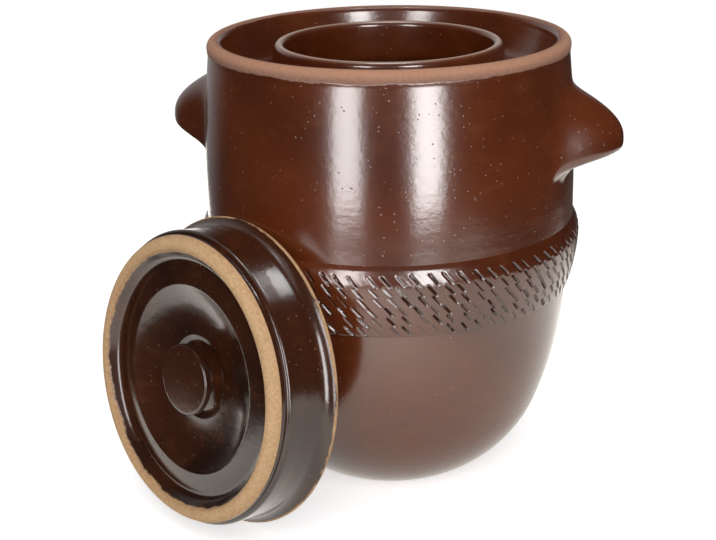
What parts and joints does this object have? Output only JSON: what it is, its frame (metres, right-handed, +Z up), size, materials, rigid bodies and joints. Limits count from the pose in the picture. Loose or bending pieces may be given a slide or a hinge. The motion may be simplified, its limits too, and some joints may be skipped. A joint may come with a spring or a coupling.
{
  "type": "water-seal fermentation crock with lid",
  "caption": "Brown glazed stoneware fermentation crock with a water-seal rim gutter, two ears and its lid leaning against the side.",
  "frame": {"origin": "middle of the crock's foot, on the surface it stands on", "axes": "+Z up along the crock's axis, the two ears on the X axis, the leaning lid on the -Y side"},
  "size_m": [0.3618, 0.3649, 0.3305],
  "materials": {
    "brown_glaze": "gloss",
    "bare_stoneware": "matte"
  },
  "bodies": {
    "root": {"crock": "brown_glaze", "lid": "brown_glaze"}
  },
  "joints": []
}
